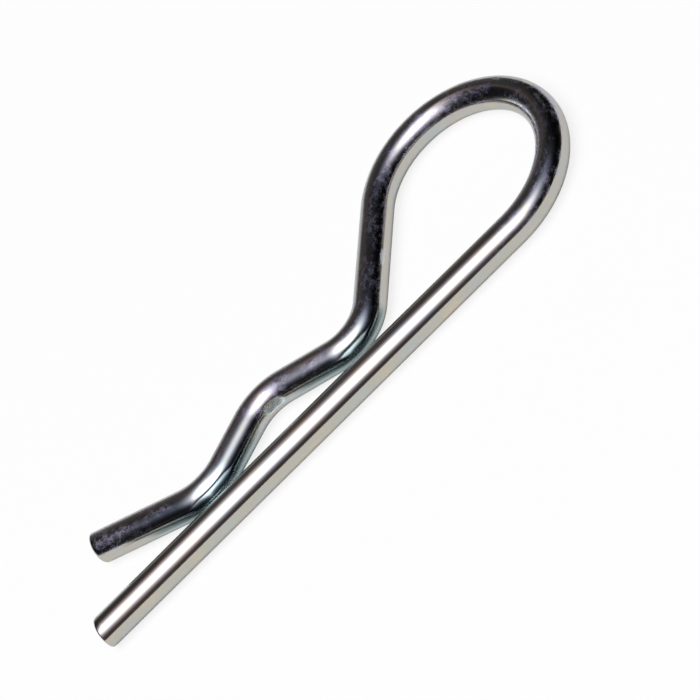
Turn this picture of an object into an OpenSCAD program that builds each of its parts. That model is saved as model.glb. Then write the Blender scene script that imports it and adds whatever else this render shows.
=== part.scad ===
// Hitch pin clip, bent cold from one length of round spring wire.
//
// The straight leg lies along X with its free tip at -X. It is pushed through the
// cross hole of a hitch pin until the crown of the grip leg seats round the outside
// of that pin. The head turns the wire back over the +Y side. From there the wire runs
// down to the neck, climbs over the crown, drops to the nose and opens into the lip.
//
// The origin is on the axis of the straight leg, opposite the middle of the crown,
// where the axis of the hitch pin crosses it. The whole wire lies in the XY plane.

/* [Wire] */
// Diameter of the round wire
wire_d = 4; // [2:0.1:5]

/* [Straight leg] */
// Length of the straight leg, from its sheared tip to the start of the head
leg_length = 66; // [50:1:120]

/* [Head] */
// Inside diameter of the round head
head_inner_d = 20; // [14:0.5:36]
// Angle between the straight leg and the run that comes back from the head
return_angle = 54; // [40:1:70]

/* [Grip leg] */
// Clear gap between the two legs at the neck
neck_gap = 1.5; // [0.4:0.1:3]
// Inside radius of the neck bend
neck_r = 4.2; // [2:0.1:8]
// Slope of the wire from the neck up to the crown
climb_angle = 20.5; // [14:0.5:32]
// Clear depth of the pocket between the straight leg and the crown
pocket_depth = 4.85; // [4:0.05:9]
// Inside radius of the crown bend
crown_r = 5.5; // [2:0.1:9]
// Slope of the wire from the crown down to the nose
fall_angle = 25.5; // [16:0.5:36]
// Clear gap between the two legs at the nose, which springs open past the hitch pin
nose_gap = 0.85; // [0.4:0.05:2]
// Inside radius of the nose bend
nose_r = 5.9; // [2:0.1:9]

/* [Lip] */
// Slope of the lip that opens away from the straight leg
lip_angle = 25.5; // [10:0.5:40]
// Length of the lip, from the nose bend to its sheared end
lip_length = 12.8; // [5:0.1:25]

/* [Sheared ends] */
// Lean of the shear cut at the tip of the straight leg, which is short on the grip side
tip_lean = 8.5; // [0:0.5:15]
// Lean of the shear cut at the end of the lip, which is short on the inner side
lip_lean = 5.5; // [0:0.5:15]
// Width of the tumbled edge round each cut
edge_break = 0.35; // [0.1:0.05:0.7]

/* [Hidden] */
$fn = 72;

wire_r = wire_d / 2;

// Radii of the bends, measured to the middle of the wire
head_bend = head_inner_d / 2 + wire_r;
neck_bend = neck_r + wire_r;
crown_bend = crown_r + wire_r;
nose_bend = nose_r + wire_r;

// Height of the grip leg's axis above the axis of the straight leg
neck_y = wire_d + neck_gap;
crown_y = wire_d + pocket_depth;
nose_y = wire_d + nose_gap;

// The angle next to a, within a few hundredths of a degree, whose cosine and sine are both
// whole millionths. A face cut at it and a face turned to it then meet all over.
function meeting_angle(a, grid = 1e-6, steps = 150) =
    let (
        first = round(cos(a) / grid),
        pairs = [
            for (k = [-steps : steps])
                let (c = (first + k) * grid) [c, round(sqrt(1 - c * c) / grid) * grid]
        ],
        misses = [for (pair = pairs) abs(pair * pair - 1)],
        least = min(misses),
        best = [for (i = [0 : len(pairs) - 1]) if (misses[i] == least) pairs[i]][0]
    ) atan2(best[1], best[0]);

// Turn of each bend, with the head in two halves, and the slopes they leave between them
half_turn = meeting_angle(90 + return_angle / 2);
neck_turn = meeting_angle(return_angle + climb_angle);
crown_turn = meeting_angle(climb_angle + fall_angle);
nose_turn = meeting_angle(fall_angle + lip_angle);
return_slope = 2 * half_turn - 180;
climb_slope = neck_turn - return_slope;
fall_slope = crown_turn - climb_slope;

// How far a bend of radius r moves the wire sideways, and along, over its first a degrees
function drop(r, a) = r * (1 - cos(a));
function reach(r, a) = r * sin(a);

// Straight runs, each as long as its two bends and the height between them leave it
return_run = (2 * head_bend - drop(head_bend + neck_bend, return_slope) - neck_y)
    / sin(return_slope);
climb_run = (crown_y - neck_y - drop(neck_bend + crown_bend, climb_slope)) / sin(climb_slope);
fall_run = (crown_y - nose_y - drop(crown_bend + nose_bend, fall_slope)) / sin(fall_slope);

// Distance along X from the middle of the crown to the start of the head
crown_to_head = reach(head_bend + neck_bend, return_slope) + return_run * cos(return_slope)
    + reach(neck_bend + crown_bend, climb_slope) + climb_run * cos(climb_slope);

// The wire's way from tip to lip. [length] is a straight run. [radius, turn] is a bend,
// to the left where turn is positive.
route = [
    [leg_length],
    [head_bend, half_turn],
    [head_bend, half_turn],
    [return_run],
    [neck_bend, -neck_turn],
    [climb_run],
    [crown_bend, crown_turn],
    [fall_run],
    [nose_bend, -nose_turn],
    [lip_length]
];

// Straight wire from the origin along +X
module run(length) {
    rotate([0, 90, 0]) rotate([0, 0, 180]) cylinder(h = length, r = wire_r);
}

// The same, where the end at the origin is sheared at a lean and its edge is tumbled.
// The cut's foremost point stays at the origin, so the lean doesn't change the length.
module sheared_run(length, lean) {
    face_r = wire_r - edge_break;
    intersection() {
        run(length);
        translate([face_r * sin(abs(lean)), 0, 0])
            rotate([0, 90, lean])
                cylinder(h = length + wire_d, r1 = face_r, r2 = face_r + length + wire_d);
    }
}

// Everything ahead of the YZ plane, or everything behind it
module side_of_cut(ahead, size) {
    translate([ahead ? 0 : -size, -size, -size]) cube([size, 2 * size, 2 * size]);
}

// A bend that starts at the origin along +X: a ring of wire, cut square at both ends.
// The cut at its far end is turned like the next piece, so the two meet face to face.
module bend(radius, turn) {
    size = radius + wire_d;
    translate([0, sign(turn) * radius, 0])
        intersection() {
            rotate([0, 0, 180]) rotate_extrude() translate([radius, 0]) rotate(90) circle(r = wire_r);
            side_of_cut(true, size);
            rotate([0, 0, turn]) side_of_cut(false, size);
        }
}

// Moves what follows past one step of the route
module past(step) {
    side = len(step) == 1 ? 0 : sign(step[1]) * step[0];
    if (len(step) == 1)
        translate([step[0], 0, 0]) children();
    else
        translate([0, side, 0]) rotate([0, 0, step[1]]) translate([0, -side, 0]) children();
}

// Moves what follows to the start of step n of the route
module at_step(n) {
    if (n == 0) children();
    else at_step(n - 1) past(route[n - 1]) children();
}

module clip() {
    last = len(route) - 1;
    color([0.71, 0.72, 0.73])
        translate([crown_to_head - leg_length, 0, 0]) {
            sheared_run(leg_length, -tip_lean);
            for (i = [1 : last - 1])
                at_step(i) if (len(route[i]) == 1) run(route[i][0]); else bend(route[i][0], route[i][1]);
            at_step(last + 1) rotate([0, 0, 180]) sheared_run(lip_length, lip_lean);
        }
}

clip();
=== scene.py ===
"""A hitch pin clip: one length of round spring wire, bent cold, sheared off and zinc plated.

All lengths are in metres. The straight leg lies along X with its tip at -X, the grip leg is on
its +Y side, and the clip rests on the floor at the underside of the wire.
"""

import bpy
import numpy as np
from mathutils import Matrix, Vector


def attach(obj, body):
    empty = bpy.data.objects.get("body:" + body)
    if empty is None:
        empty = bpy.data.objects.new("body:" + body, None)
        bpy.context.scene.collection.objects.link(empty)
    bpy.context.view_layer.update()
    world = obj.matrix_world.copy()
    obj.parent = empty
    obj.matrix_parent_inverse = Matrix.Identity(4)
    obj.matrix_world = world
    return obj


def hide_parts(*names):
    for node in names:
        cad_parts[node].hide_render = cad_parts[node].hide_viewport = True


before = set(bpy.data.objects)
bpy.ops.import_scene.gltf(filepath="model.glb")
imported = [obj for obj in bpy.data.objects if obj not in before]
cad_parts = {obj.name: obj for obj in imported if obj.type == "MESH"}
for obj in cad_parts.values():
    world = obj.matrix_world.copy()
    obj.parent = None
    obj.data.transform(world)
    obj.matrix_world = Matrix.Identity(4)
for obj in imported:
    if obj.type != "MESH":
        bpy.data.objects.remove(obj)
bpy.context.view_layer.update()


# ---------------------------------------------------------------------------
# The wire. Hard drawn spring steel, 4 mm round, bent round pins on a forming
# machine into head, neck, crown, nose and lip, all in one plane, and sheared
# off at both ends. Bright zinc plate, passivated, covers it.
# ---------------------------------------------------------------------------

MM = 0.001

wire_radius = 2.0 * MM
leg_length = 66 * MM
head_radius = 12 * MM
neck_radius = 6.2 * MM
crown_radius = 7.5 * MM
nose_radius = 7.9 * MM
lip_length = 12.8 * MM

# Heights of the grip leg's middle over the middle of the straight leg
neck_height = 5.5 * MM
crown_height = 8.85 * MM
nose_height = 4.85 * MM

# Slopes of the straight runs between the bends
return_slope = np.radians(54)
climb_slope = np.radians(20.5)
fall_slope = np.radians(25.5)
lip_slope = np.radians(25.5)


def straight_between(height, radii, slope):
    """Length of the run that two bends of these radii, summed, leave of a height: what the
    bends don't take, r (1 - cos slope), over the slope's sine."""
    return (height - radii * (1 - np.cos(slope))) / np.sin(slope)


return_run = straight_between(2 * head_radius - neck_height, head_radius + neck_radius, return_slope)
climb_run = straight_between(crown_height - neck_height, neck_radius + crown_radius, climb_slope)
fall_run = straight_between(crown_height - nose_height, crown_radius + nose_radius, fall_slope)


def bend(radius, turn):
    """A bend as its length along the middle of the wire and its turn."""
    return radius * abs(turn), turn


# The way of the wire from tip to lip, as (length, turn to the left) of each stretch
wire_way = [
    (leg_length, 0),
    bend(head_radius, np.pi + return_slope),
    (return_run, 0),
    bend(neck_radius, -return_slope - climb_slope),
    (climb_run, 0),
    bend(crown_radius, climb_slope + fall_slope),
    (fall_run, 0),
    bend(nose_radius, -fall_slope - lip_slope),
    (lip_length, 0),
]
wire_length = sum(length for length, turn in wire_way)
way_starts = np.cumsum([0] + [length for length, turn in wire_way])
head_start, neck_start, crown_start = way_starts[1], way_starts[3], way_starts[5]


def middle_of_wire(along):
    """Place and heading of the middle of the wire at each distance along it. Each stretch adds
    its own share: a run p (cos h, sin h), a bend R (sin(h + p/R) - sin h, cos h - cos(h + p/R))."""
    x = np.zeros_like(along)
    y = np.zeros_like(along)
    heading = np.zeros_like(along)
    done, h = 0.0, 0.0
    for length, turn in wire_way:
        part = np.clip(along - done, 0, length)
        if turn:
            radius = length / turn
            x += radius * (np.sin(h + part / radius) - np.sin(h))
            y += radius * (np.cos(h) - np.cos(h + part / radius))
            heading += part / radius
        else:
            x += part * np.cos(h)
            y += part * np.sin(h)
        done += length
        h += turn
    return x, y, heading


# The origin is opposite the middle of the crown, so the tip is this far back from it
crown_middle = crown_start + crown_radius * climb_slope
tip_x = -middle_of_wire(np.array([crown_middle]))[0][0]


def smooth(low, high, value):
    """0 below low, 1 above high, and 3t^2 - 2t^3 between them."""
    t = np.clip((value - low) / (high - low), 0, 1)
    return t * t * (3 - 2 * t)


# Flats that the bending pins and the jaws pressed in: (distance along the wire, angle round it
# from the left side towards the top, half length, depth, how dull it is)
pressed_flats = [
    (146.0 * MM, np.radians(12), 2.2 * MM, 0.11 * MM, 1),  # crown, inside the pocket
    (123.0 * MM, np.radians(24), 1.3 * MM, 0.020 * MM, 1),  # return run, inside the loop
    (83.5 * MM, np.radians(113), 1.7 * MM, 0.016 * MM, 1),  # top of the head
    (91.2 * MM, np.radians(110), 0.6 * MM, 0.014 * MM, 1),  # top of the head, further round
    (133.0 * MM, np.radians(188), 2.0 * MM, 0.05 * MM, 1),  # neck, away from the straight leg
    (134.0 * MM, np.radians(27), 1.8 * MM, 0.065 * MM, 0),  # neck, towards the straight leg
    (158.6 * MM, np.radians(26), 3.0 * MM, 0.095 * MM, 0),  # nose, towards the straight leg
    (160.0 * MM, np.radians(186), 2.2 * MM, 0.04 * MM, 1),  # nose, away from the straight leg
]
# Depth of pressing at which the skin is fully dull, and the rounding of a flat's edge
flat_edge = 0.008 * MM
flat_softness = 0.02 * MM
# Share of its half length over which a flat keeps its depth, and the cosine of the angle round
# the wire beyond which a point is out of its reach
flat_level_share = 0.55
least_facing = 0.2


def skin_radius(along, angle):
    """Radius r of the wire at (along, angle): the drawn radius, less (d + root(d^2 + s^2)) / 2 at
    each flat, where d is how far r stands past the flat at (radius - depth) / cos(angle from
    it), and s softens its edge."""
    radius = np.full_like(along, wire_radius)
    pressed = np.zeros_like(along)
    for place, side, half_length, depth, dull in pressed_flats:
        facing = np.cos(angle - side)
        ease = 1 - smooth(flat_level_share, 1.0, np.abs(along - place) / half_length)
        flat = (wire_radius - depth * ease) / np.maximum(facing, least_facing)
        past = np.where(facing > least_facing, radius - flat, -wire_radius)
        radius = radius - (past + np.hypot(past, flat_softness * ease)) / 2
        pressed = np.maximum(pressed, dull * smooth(0, flat_edge, past))
    return radius, pressed


# Shear cuts: how far each face leans, how far its edge is rounded by tumbling, more on the left
# side than on the right, and how far the face steps down past its burnished side
tip_lean = np.radians(8.5)
lip_lean = np.radians(5.5)
lean_fade = 6 * MM
edge_round = 0.32 * MM
edge_uneven = 0.16 * MM
shear_step = 0.07 * MM
tear_height = 0.010 * MM
# Places across the face where the burnished side ends and where the broken side is full depth,
# and how far the line between them slants
burnished_to = 0.1 * MM
broken_from = -0.35 * MM
break_slant = 0.12
# Share of the edge round, from the body, at which the skin is fully tumbled and the sheared
# face begins
tumbled_share = 0.6

edge_rings = 7
face_rings = 14
ring_points = 128
station_gap = 0.36 * MM


def sheared_end():
    """Rings of one end, from the body to the middle of the face, as three columns: depth behind
    the cut (1 - sin a) and how much of the edge round is taken off (1 - cos a), for a up to 90
    degrees, and share of the face radius."""
    a = np.linspace(0, np.pi / 2, edge_rings + 1)
    edge = np.stack([1 - np.sin(a), 1 - np.cos(a), np.ones_like(a)], 1)
    share = np.linspace(1, 0, face_rings + 1)[1:]
    face = np.stack([0 * share, np.ones_like(share), share], 1)
    return np.concatenate([edge, face])


def ripples(over, beside, width, sway_width, sway):
    """sin(over / width + sway sin(beside / sway_width)): a sine wave whose crests sway."""
    return np.sin(over / width + sway * np.sin(beside / sway_width))


def end_relief(across, up):
    """Depth of the sheared face at (across, up): none over its burnished side, a little under
    half of it, then a step down to the broken side, torn into two sets of ripples."""
    broken = smooth(burnished_to, broken_from, across + break_slant * up)
    torn = ripples(across, up, 0.13 * MM, 0.31 * MM, 2)
    torn += 0.7 * ripples(up, across, 0.17 * MM, 0.23 * MM, 1.7)
    return broken * (shear_step + tear_height * torn)


def with_ends(end, body):
    """Rings of the tip, the body and the lip. Both ends are alike, and the tip's are turned
    round to run from the middle of its face to the body."""
    return np.concatenate([end[::-1], body, end])


def wire_surface():
    """The whole skin as rings of points. A point is the middle of the wire, plus its radius
    times (cos angle, sin angle) along the left side and the top, moved along the wire by
    tan(lean) (face radius + radius cos angle) near a leaning cut."""
    angle = np.linspace(0, 2 * np.pi, ring_points, endpoint=False)[None, :]
    uneven = edge_round + edge_uneven * np.cos(angle)
    depth, taken, share = (column[:, None] for column in sheared_end().T)
    taken = np.broadcast_to(taken, (len(taken), ring_points))
    end_radius = (wire_radius - taken * uneven) * share
    end_depth = depth * uneven

    first = edge_round + edge_uneven
    body_share = np.linspace(0, 1, int(wire_length / station_gap))[1:-1, None]
    body_along = np.repeat(first + body_share * (wire_length - 2 * first), ring_points, axis=1)
    body_radius, body_pressed = skin_radius(body_along, np.broadcast_to(angle, body_along.shape))
    radius = with_ends(end_radius, body_radius)
    along = np.concatenate([end_depth[::-1], body_along, wire_length - end_depth])
    pressed = with_ends(0 * end_radius, body_pressed)
    cut = with_ends(smooth(tumbled_share, 1.0, taken), 0 * body_radius)
    tumbled = with_ends(smooth(0.0, tumbled_share, taken), 0 * body_radius)

    face_radius = wire_radius - edge_round
    across = radius * np.cos(angle)
    up = radius * np.sin(angle)
    near_tip = 1 - smooth(0, lean_fade, along)
    near_lip = smooth(wire_length - lean_fade, wire_length, along)
    # The relief goes into the wire, which is onwards from the tip and back from the lip
    relief = cut * end_relief(across, up) * np.where(along < wire_length / 2, 1, -1)
    lean = (face_radius + across) * (np.tan(tip_lean) * near_tip - np.tan(lip_lean) * near_lip)
    x, y, heading = middle_of_wire(along[:, :1])
    # In the two ends the points of a ring differ in distance, but there the wire is straight
    ahead = along - along[:, :1] + lean + relief
    place_x = tip_x + x + ahead * np.cos(heading) - across * np.sin(heading)
    place_y = y + ahead * np.sin(heading) + across * np.cos(heading)
    points = np.stack([place_x, place_y, up], -1)
    straightened = np.stack([along, across, up], -1)
    return points, straightened, {"pressed": pressed, "sheared": cut, "tumbled": tumbled}


def closed_tube(name, points):
    """A mesh of quads between neighbouring rings, closed round and, with a fan of triangles, at
    each end, where the last ring has shrunk to one point."""
    rings, around = points.shape[:2]
    inner = points[1:-1].reshape(-1, 3)
    vertices = np.concatenate([inner, points[:1, 0], points[-1:, 0]])
    ring = np.arange(rings - 3)[:, None] * around
    here = np.arange(around)[None, :]
    beside = (here + 1) % around
    corners = [ring + here, ring + beside, ring + around + beside, ring + around + here]
    quads = np.stack(corners, -1).reshape(-1, 4)
    here, beside = here[0], beside[0]
    last = (rings - 3) * around
    start_fan = np.stack([np.full(around, len(inner)), beside, here], 1)
    end_fan = np.stack([np.full(around, len(inner) + 1), last + here, last + beside], 1)
    mesh = bpy.data.meshes.new(name)
    mesh.from_pydata(vertices.tolist(), [], quads.tolist() + start_fan.tolist() + end_fan.tolist())
    mesh.shade_smooth()
    return mesh


def per_vertex(values):
    """Values of the grid in the order of closed_tube's vertices."""
    inner = values[1:-1].reshape(-1, *values.shape[2:])
    return np.concatenate([inner, values[:1, 0], values[-1:, 0]]).astype(np.float32).ravel()


grip_stations = 160
far_away = 1.0


def room_to_other_leg(points, along):
    """Distance to the other leg's surface. A point of the grip leg measures to the straight
    leg's middle, the root of y^2 + z^2, and a point of the straight leg to the nearest of the
    stations along the grip leg. The head and the return run count as far away from both."""
    room = np.hypot(points[..., 1], points[..., 2])
    grip_x, grip_y, _ = middle_of_wire(np.linspace(neck_start, wire_length, grip_stations))
    on_leg = along < head_start
    leg_points = points[on_leg]
    flat = np.hypot(leg_points[:, None, 0] - tip_x - grip_x, leg_points[:, None, 1] - grip_y)
    room[on_leg] = np.hypot(flat.min(1), leg_points[:, 2])
    room[(along > head_start) & (along < neck_start)] = far_away
    return room - wire_radius


points, straightened, masks = wire_surface()
along = straightened[..., 0]
# Where the legs are close the plate is duller, and its colour carries painted shade, tinted teal like
# the reflections between the legs
stained_room, clean_room = 1.0 * MM, 5.4 * MM
masks["gap"] = smooth(clean_room, stained_room, room_to_other_leg(points, along))
# The straight leg is rubbed bright in use, and less and less so into the head
rubbed_to, unrubbed_from = 55 * MM, 75 * MM
masks["rubbed"] = smooth(unrubbed_from, rubbed_to, along)
# A painted reflection: on the nose, where it faces the straight leg, the colour is lightened to stand
# for the straight leg's highlight mirrored there
nose_reflection_from, nose_reflection_full_from = 156.0 * MM, 157.3 * MM
nose_reflection_full_to, nose_reflection_to = 159.8 * MM, 161.0 * MM
masks["nose_reflection"] = smooth(nose_reflection_from, nose_reflection_full_from, along) * smooth(nose_reflection_to, nose_reflection_full_to, along)

wire_mesh = closed_tube("wire", points)
lengthwise = wire_mesh.attributes.new("straightened", "FLOAT_VECTOR", "POINT")
lengthwise.data.foreach_set("vector", per_vertex(straightened))
for mask_name, mask in masks.items():
    stored = wire_mesh.attributes.new(mask_name, "FLOAT", "POINT")
    stored.data.foreach_set("value", per_vertex(mask))

wire = bpy.data.objects.new("wire", wire_mesh)
bpy.context.scene.collection.objects.link(wire)


def empty_tree(owner):
    """The node tree of a new material or world, cleared. The helpers below add to `tree`."""
    owner.use_nodes = True
    owner.node_tree.nodes.clear()
    return owner.node_tree


def add(kind, settings=(), **inputs):
    """A node of that kind, with its settings, and its inputs set or linked by name or, as i0,
    i1 and so on, by number."""
    node = tree.nodes.new(kind)
    for key, value in dict(settings).items():
        setattr(node, key, value)
    for key, value in inputs.items():
        socket = node.inputs[int(key[1:])] if key[1:].isdigit() else node.inputs[key]
        if isinstance(value, bpy.types.NodeSocket):
            tree.links.new(value, socket)
        else:
            socket.default_value = value
    return node


def calc(operation, a, b=0.0):
    """A Math node's operation on a and b"""
    return add("ShaderNodeMath", {"operation": operation}, i0=a, i1=b).outputs[0]


def product(first, *others):
    """first times each of the others"""
    for other in others:
        first = calc("MULTIPLY", first, other)
    return first


def total(first, *others):
    """first plus each of the others"""
    for other in others:
        first = calc("ADD", first, other)
    return first


def less(share, mask):
    """1 - share mask"""
    return calc("SUBTRACT", 1.0, product(mask, share))


def stretch(vector, scale):
    """(x sx, y sy, z sz)"""
    return add("ShaderNodeVectorMath", {"operation": "MULTIPLY"}, i0=vector, i1=scale).outputs[0]


def noise(vector, scale, detail=2.0, rough=0.5):
    """Noise of that scale at the vector, with its finer layers, about 0 to 1"""
    node = add("ShaderNodeTexNoise", Vector=vector, Scale=scale, Detail=detail, Roughness=rough)
    return node.outputs["Fac"]


def between(value, low, high, to_low=0.0, to_high=1.0):
    """A smooth step from to_low, where the value is low, to to_high, where it is high"""
    settings = {"interpolation_type": "SMOOTHSTEP"}
    node = add("ShaderNodeMapRange", settings, i0=value, i1=low, i2=high, i3=to_low, i4=to_high)
    return node.outputs[0]


def mix_colour(share, a, b):
    """a (1 - share) + b share"""
    return add("ShaderNodeMix", {"data_type": "RGBA"}, i0=share, i6=a, i7=b).outputs[2]


def attribute(name, output="Fac"):
    """An attribute of the mesh, as a value or as another output of its node"""
    return add("ShaderNodeAttribute", {"attribute_name": name}).outputs[output]


zinc = bpy.data.materials.new("zinc_plate")
tree = empty_tree(zinc)

# Place along, across and up the wire, as if it were straight. Up is 0 at its middle.
millimetres = stretch(attribute("straightened", "Vector"), (1 / MM, 1 / MM, 1 / MM))
up = add("ShaderNodeSeparateXYZ", Vector=millimetres).outputs[2]
gap = attribute("gap")
pressed = attribute("pressed")
nose_reflection = product(attribute("nose_reflection"), gap)
sheared = attribute("sheared")


def pattern(squeeze, scale, detail, rough=0.5):
    """Noise on the straightened wire, at its place times these three factors along, across and
    up it. A small factor draws the noise out that way."""
    return noise(stretch(millimetres, squeeze), scale, detail, rough)


# Patterns in the plate: lines from drawing, slow waves from bending, milky bloom where the passivate
# dried and its speckle, the tints, and streaks for the painted dark line
draw_lines = pattern((0.03, 6.0, 6.0), 1.0, 3.0, rough=0.6)
waves = pattern((0.35, 1.0, 1.0), 0.8, 1.0)
dimples = noise(millimetres, 1.3, detail=1.0)
mottle = pattern((0.7, 1.0, 1.0), 1.7, 5.0, rough=0.72)
bloom = pattern((0.5, 1.0, 1.0), 0.55, 2.0)
tint = pattern((0.35, 0.8, 0.8), 0.55, 3.0, rough=0.6)
second_tint = noise(millimetres, 0.9, detail=3.0)
streaks = pattern((0.12, 2.2, 2.2), 1.0, 2.0)

# The bloom lies mostly on the upper side, is nearly rubbed off the straight leg, and is thin
# in the gap
milky = product(between(mottle, 0.38, 0.62), between(bloom, 0.32, 0.56, 0.3, 1.0))
milky = product(milky, less(0.85, attribute("rubbed")), less(0.8, gap))
milky = product(milky, between(up, 0.2, 1.1, 0.15, 1.0))
# In the gap the lower side carries the darkest painted shade, with a streaked line of painted shade a
# little above the middle
underside = product(gap, between(up, 0.2, -1.3), less(0.8, nose_reflection))
dark_line = product(between(gap, 0.12, 0.5), between(up, -0.5, 0.05), between(up, 0.65, 0.3))
dark_line = product(dark_line, between(streaks, 0.3, 0.6, 0.6, 1.0), less(1.0, nose_reflection))
# A painted reflection: a warmer band a little above the middle, all along the wire, stands for the
# warmer floor mirrored there
warm_reflection_band = product(between(up, 0.0, 0.7), between(up, 1.2, 0.8))

clear_zinc = (0.485, 0.480, 0.432, 1)
blue_zinc = (0.445, 0.492, 0.497, 1)
straw_zinc = (0.560, 0.500, 0.400, 1)
violet_zinc = (0.530, 0.480, 0.530, 1)
milk = (0.475, 0.47, 0.63, 1)
# Painted shade between the legs, tinted teal like the reflections there
gap_shade = (0.40, 0.50, 0.53, 1)
# Painted shade on the lower side in the gap
underside_shade = (0.23, 0.34, 0.36, 1)
# Painted shade for the streaked dark line, the straight leg's shaded underside mirrored there
dark_line_shade = (0.16, 0.22, 0.24, 1)
# Painted reflection of the straight leg's highlight on the nose
nose_reflection_colour = (0.72, 0.84, 0.86, 1)
torn_steel = (0.47, 0.47, 0.46, 1)
burnished = (0.84, 0.91, 0.94, 1)
grazing_grey = (0.80, 0.80, 0.80, 1)

colour = mix_colour(between(tint, 0.30, 0.50), blue_zinc, clear_zinc)
colour = mix_colour(between(tint, 0.52, 0.66, 0.0, 0.8), colour, straw_zinc)
colour = mix_colour(between(second_tint, 0.55, 0.72, 0.0, 0.2), colour, violet_zinc)
# Layers over the tints, each over the one before: where it lies, how much it covers there, and
# its colour
for place, cover, layer_colour in (
    (warm_reflection_band, 0.4, straw_zinc),
    (milky, 0.85, milk),
    (gap, 0.75, gap_shade),
    (underside, 0.8, underside_shade),
    (dark_line, 0.85, dark_line_shade),
    (nose_reflection, 0.8, nose_reflection_colour),
    (sheared, 0.7, torn_steel),
    (pressed, 0.85, burnished),
):
    colour = mix_colour(product(place, cover), colour, layer_colour)

# Roughness is that of the drawn lines, and what each layer adds to it
gap_dullness = product(calc("SUBTRACT", gap, underside), between(up, 0.7, 0.1))
roughness = total(
    between(draw_lines, 0.3, 0.7, 0.045, 0.08),
    product(milky, 0.28),
    product(gap_dullness, 0.24),
    product(pressed, 0.18),
    product(sheared, 0.25),
    product(attribute("tumbled"), 0.10),
)

bump_depth = 0.006 * MM
height = total(product(draw_lines, 0.05), product(waves, 1.2), product(dimples, 0.2))
bump = add("ShaderNodeBump", Height=height, Strength=less(0.85, gap), Distance=bump_depth)

skin = add("ShaderNodeBsdfPrincipled", Metallic=1.0, Roughness=roughness, Normal=bump.outputs[0])
tree.links.new(colour, skin.inputs["Base Color"])
skin.inputs["Specular Tint"].default_value = grazing_grey
add("ShaderNodeOutputMaterial", Surface=skin.outputs[0])

wire_mesh.materials.append(zinc)
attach(wire, "root")
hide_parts("clip")


# ---------------------------------------------------------------------------
# The floor and the room. A sheet of matt white paper in a white room, which the
# camera sees as plain white with the clip's shadow on it.
# ---------------------------------------------------------------------------

floor_half = 4.0
floor_z = -wire_radius
# How white the paper is, and how far it is lifted to plain white, for the camera and for metal
paper_white = 0.80
white_share = 0.82
shown_by_metal = 0.1
# The light that the white room itself sends back to what stands in it
room_light = 0.14


def stage_mesh(name, vertices, faces):
    """A mesh that belongs to the room and not to the clip"""
    mesh = bpy.data.meshes.new(name)
    mesh.from_pydata(vertices, [], faces)
    piece = bpy.data.objects.new(name, mesh)
    bpy.context.scene.collection.objects.link(piece)
    return piece


def seen_directly(reflected):
    """1 for camera and transmission rays, and a share of that for glossy rays."""
    path = add("ShaderNodeLightPath")
    seen = calc("MAXIMUM", path.outputs["Is Camera Ray"], path.outputs["Is Transmission Ray"])
    return calc("MAXIMUM", seen, product(path.outputs["Is Glossy Ray"], reflected))


corners = [(-1, -1), (1, -1), (1, 1), (-1, 1)]
floor_points = [(x * floor_half, y * floor_half, floor_z) for x, y in corners]
floor = stage_mesh("floor", floor_points, [(0, 1, 2, 3)])
floor_paper = bpy.data.materials.new("white_floor")
floor.data.materials.append(floor_paper)
tree = empty_tree(floor_paper)
paper = add("ShaderNodeBsdfDiffuse", Color=(paper_white, paper_white, paper_white, 1))
white = add("ShaderNodeEmission", Color=(1, 1, 1, 1), Strength=1.0)
shown = product(seen_directly(shown_by_metal), white_share)
lifted = add("ShaderNodeMixShader", i0=shown, i1=paper.outputs[0], i2=white.outputs[0])
add("ShaderNodeOutputMaterial", Surface=lifted.outputs[0])

world = bpy.data.worlds.new("white_room")
bpy.context.scene.world = world
tree = empty_tree(world)
room = between(seen_directly(1.0), 0.0, 1.0, room_light, 1.0)
backdrop = add("ShaderNodeBackground", Color=(1, 1, 1, 1), Strength=room)
add("ShaderNodeOutputWorld", Surface=backdrop.outputs[0])


# ---------------------------------------------------------------------------
# The light. A large soft box overhead, towards the front and the left, lights the
# floor. What the bright wire mirrors is a dome that nothing else sees, of dark
# cloth with a wedge of light at its top and paler places low down.
# ---------------------------------------------------------------------------

box_height = 3.0
box_left, box_right = -2.2, 0.6
box_front, box_back = -3.1, 0.5
box_power = 163.0
lamp_data = bpy.data.lights.new("soft_box", "AREA")
lamp_data.shape = "RECTANGLE"
lamp_data.size = box_right - box_left
lamp_data.size_y = box_back - box_front
lamp_data.energy = box_power
lamp = bpy.data.objects.new("soft_box", lamp_data)
lamp.location = ((box_left + box_right) / 2, (box_front + box_back) / 2, box_height)
lamp.visible_glossy = False
lamp.visible_camera = False
bpy.context.scene.collection.objects.link(lamp)

dome_radius = 6.0
dome_turns, dome_rows = 64, 33
# Rise of its first ring, a little below the level of its middle, and of its last
dome_foot, dome_top = -0.02, np.pi / 2 - 0.01


def dome_mesh(name, radius, turns, rows):
    """A dome as rings of points R (cos e cos a, cos e sin a, sin e), from its foot up to one
    face that closes its top."""
    a = np.linspace(0, 2 * np.pi, turns, endpoint=False)[None, :]
    e = np.linspace(dome_foot, dome_top, rows)[:, None]
    level = np.cos(e)
    points = radius * np.stack([level * np.cos(a), level * np.sin(a), np.sin(e) + 0 * a], -1)
    row = np.arange(rows - 1)[:, None] * turns
    here = np.arange(turns)[None, :]
    beside = (here + 1) % turns
    corners = [row + here, row + turns + here, row + turns + beside, row + beside]
    quads = np.stack(corners, -1).reshape(-1, 4)
    top = (rows - 1) * turns + np.arange(turns)
    return stage_mesh(name, points.reshape(-1, 3).tolist(), quads.tolist() + [top.tolist()])


dome = dome_mesh("dark_dome", dome_radius, dome_turns, dome_rows)
for ray in ("camera", "diffuse", "transmission", "volume_scatter", "shadow"):
    setattr(dome, "visible_" + ray, False)
dome_cloth = bpy.data.materials.new("dome_cloth")
dome.data.materials.append(dome_cloth)
tree = empty_tree(dome_cloth)

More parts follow.
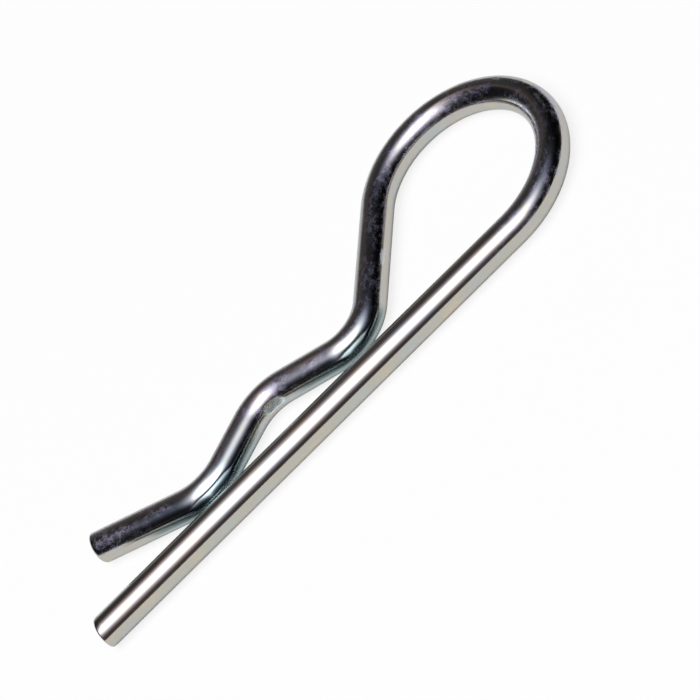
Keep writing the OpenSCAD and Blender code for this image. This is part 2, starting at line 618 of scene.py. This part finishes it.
where = stretch(add("ShaderNodeTexCoord").outputs["Object"], (1 / dome_radius,) * 3)
x, y, z = add("ShaderNodeSeparateXYZ", Vector=where).outputs
# How far out from under the dome's top, as a share of its radius, kept off 0
level = calc("SQRT", calc("MAXIMUM", calc("SUBTRACT", 1.0, product(z, z)), 0.0001))
# The dome laid flat: x / (1 + z) and y / (1 + z) are 0 overhead and reach 1 at the horizon
flat_x = calc("DIVIDE", x, total(z, 1.0))
flat_y = calc("DIVIDE", y, total(z, 1.0))


def falling(distance, fall):
    """e^(-distance / fall)"""
    return calc("EXPONENT", product(distance, -1 / fall))


def towards(turn, narrow):
    """e^(narrow (cos t - 1)), where t is the angle on the horizon from the turn in degrees."""
    aim_x = product(x, np.cos(np.radians(turn)))
    aim_y = product(y, np.sin(np.radians(turn)))
    return falling(calc("SUBTRACT", 1.0, calc("DIVIDE", total(aim_x, aim_y), level)), 1 / narrow)


# The middle of the box is a wedge that widens to the front: its half width is wedge_width -
# wedge_spread * flat_y, it fades out beyond wedge_front, and its light is
# wedge_light / (1 + e^(beyond / wedge_edge)), where beyond is the distance past its edges
wedge_middle = -0.073
wedge_width = 0.045
wedge_spread = 0.302
wedge_front = -0.20
front_softness = 0.178
wedge_edge = 0.025
wedge_light = 2.4
wedge_white = (1.0, 0.98, 0.96, 1)
wedge_rim = (1.0, 0.78, 0.80, 1)
half_width = calc("SUBTRACT", wedge_width, product(flat_y, wedge_spread))
off_middle = calc("ABSOLUTE", calc("SUBTRACT", flat_x, wedge_middle))
past_side = calc("SUBTRACT", off_middle, half_width)
past_front = product(calc("SUBTRACT", wedge_front, flat_y), front_softness)
beyond = calc("MAXIMUM", past_side, past_front)
wedge = calc("DIVIDE", wedge_light, total(falling(beyond, -wedge_edge), 1.0))
wedge_colour = mix_colour(between(beyond, -0.04, 0.06), wedge_white, wedge_rim)

# Round it the cloth glows as e^(-(distance / glow_size)^2), bluer as it fades. The glow is a
# little narrower from side to side.
glow_x, glow_y = 0.02, -0.205
glow_size = 0.225
glow_narrowing = 1.08
glow_light = 3.2
glow_white = (1.0, 0.99, 1.0, 1)
glow_blue = (0.70, 0.74, 1.0, 1)
off_x = product(calc("SUBTRACT", flat_x, glow_x), glow_narrowing)
off_y = calc("SUBTRACT", flat_y, glow_y)
squared = total(product(off_x, off_x), product(off_y, off_y))
glow = product(falling(squared, glow_size ** 2), glow_light)
glow_colour = mix_colour(between(glow, 0.1, 1.6), glow_blue, glow_white)

# Low down there are a white wall all round, a window at the back left and a paler back, and
# the cloth itself is a little lit on the left. Heights are shares of the dome's radius, and
# turns are degrees from +X.
wall_height = 0.07
wall_light_left, wall_light_right = 0.36, 0.12
wall_white = (1.0, 0.97, 0.95, 1)
low_wall = falling(z, wall_height)
low_wall = product(low_wall, between(flat_x, 0.0, 0.8, wall_light_left, wall_light_right))

window_turn, window_narrow = 132.0, 14
window_middle, window_height = 0.12, 0.07
window_light = 2.2
window_white = (0.97, 1.0, 1.0, 1)
off_window = calc("ABSOLUTE", calc("SUBTRACT", z, window_middle))
window = product(towards(window_turn, window_narrow), falling(off_window, window_height), window_light)

back_turn, back_narrow = 91.0, 12.4
back_height = 0.40
back_light = 0.28
back_cream = (1.0, 0.88, 0.80, 1)
pale_back = product(towards(back_turn, back_narrow), falling(z, back_height), back_light)

cloth_light_left, cloth_light_right = 0.012, 0.003
cloth_blue = (0.80, 0.80, 1.0, 1)
lit_cloth = between(flat_x, 0.0, 0.6, cloth_light_left, cloth_light_right)

lights = add("ShaderNodeEmission", Color=wedge_colour, Strength=wedge)
for light_colour, strength in (
    (glow_colour, glow),
    (wall_white, low_wall),
    (window_white, window),
    (back_cream, pale_back),
    (cloth_blue, lit_cloth),
):
    light = add("ShaderNodeEmission", Color=light_colour, Strength=strength)
    lights = add("ShaderNodeAddShader", i0=lights.outputs[0], i1=light.outputs[0])
add("ShaderNodeOutputMaterial", Surface=lights.outputs[0])


# ---------------------------------------------------------------------------
# The camera, in front of the clip and above it, rolled so that the straight leg
# rises to the right.
# ---------------------------------------------------------------------------

aim = Vector((11.20, 4.82, 0.0)) * MM
camera_turn = np.radians(-83.84)
camera_rise = np.radians(42.08)
camera_roll = np.radians(-48.84)
camera_distance = 315.27 * MM

camera_data = bpy.data.cameras.new("camera")
camera_data.lens = 141.2
camera_data.sensor_width = 36.0
camera_data.clip_start = 0.01
camera_data.clip_end = 20.0
camera = bpy.data.objects.new("camera", camera_data)
bpy.context.scene.collection.objects.link(camera)
toward = Vector((
    np.cos(camera_rise) * np.cos(camera_turn),
    np.cos(camera_rise) * np.sin(camera_turn),
    np.sin(camera_rise),
))
camera.matrix_world = (
    Matrix.Translation(aim + camera_distance * toward)
    @ Matrix.Rotation(camera_turn + np.pi / 2, 4, "Z")
    @ Matrix.Rotation(np.pi / 2 - camera_rise, 4, "X")
    @ Matrix.Rotation(camera_roll, 4, "Z")
)
bpy.context.scene.camera = camera
bpy.context.scene.view_settings.view_transform = "Standard"
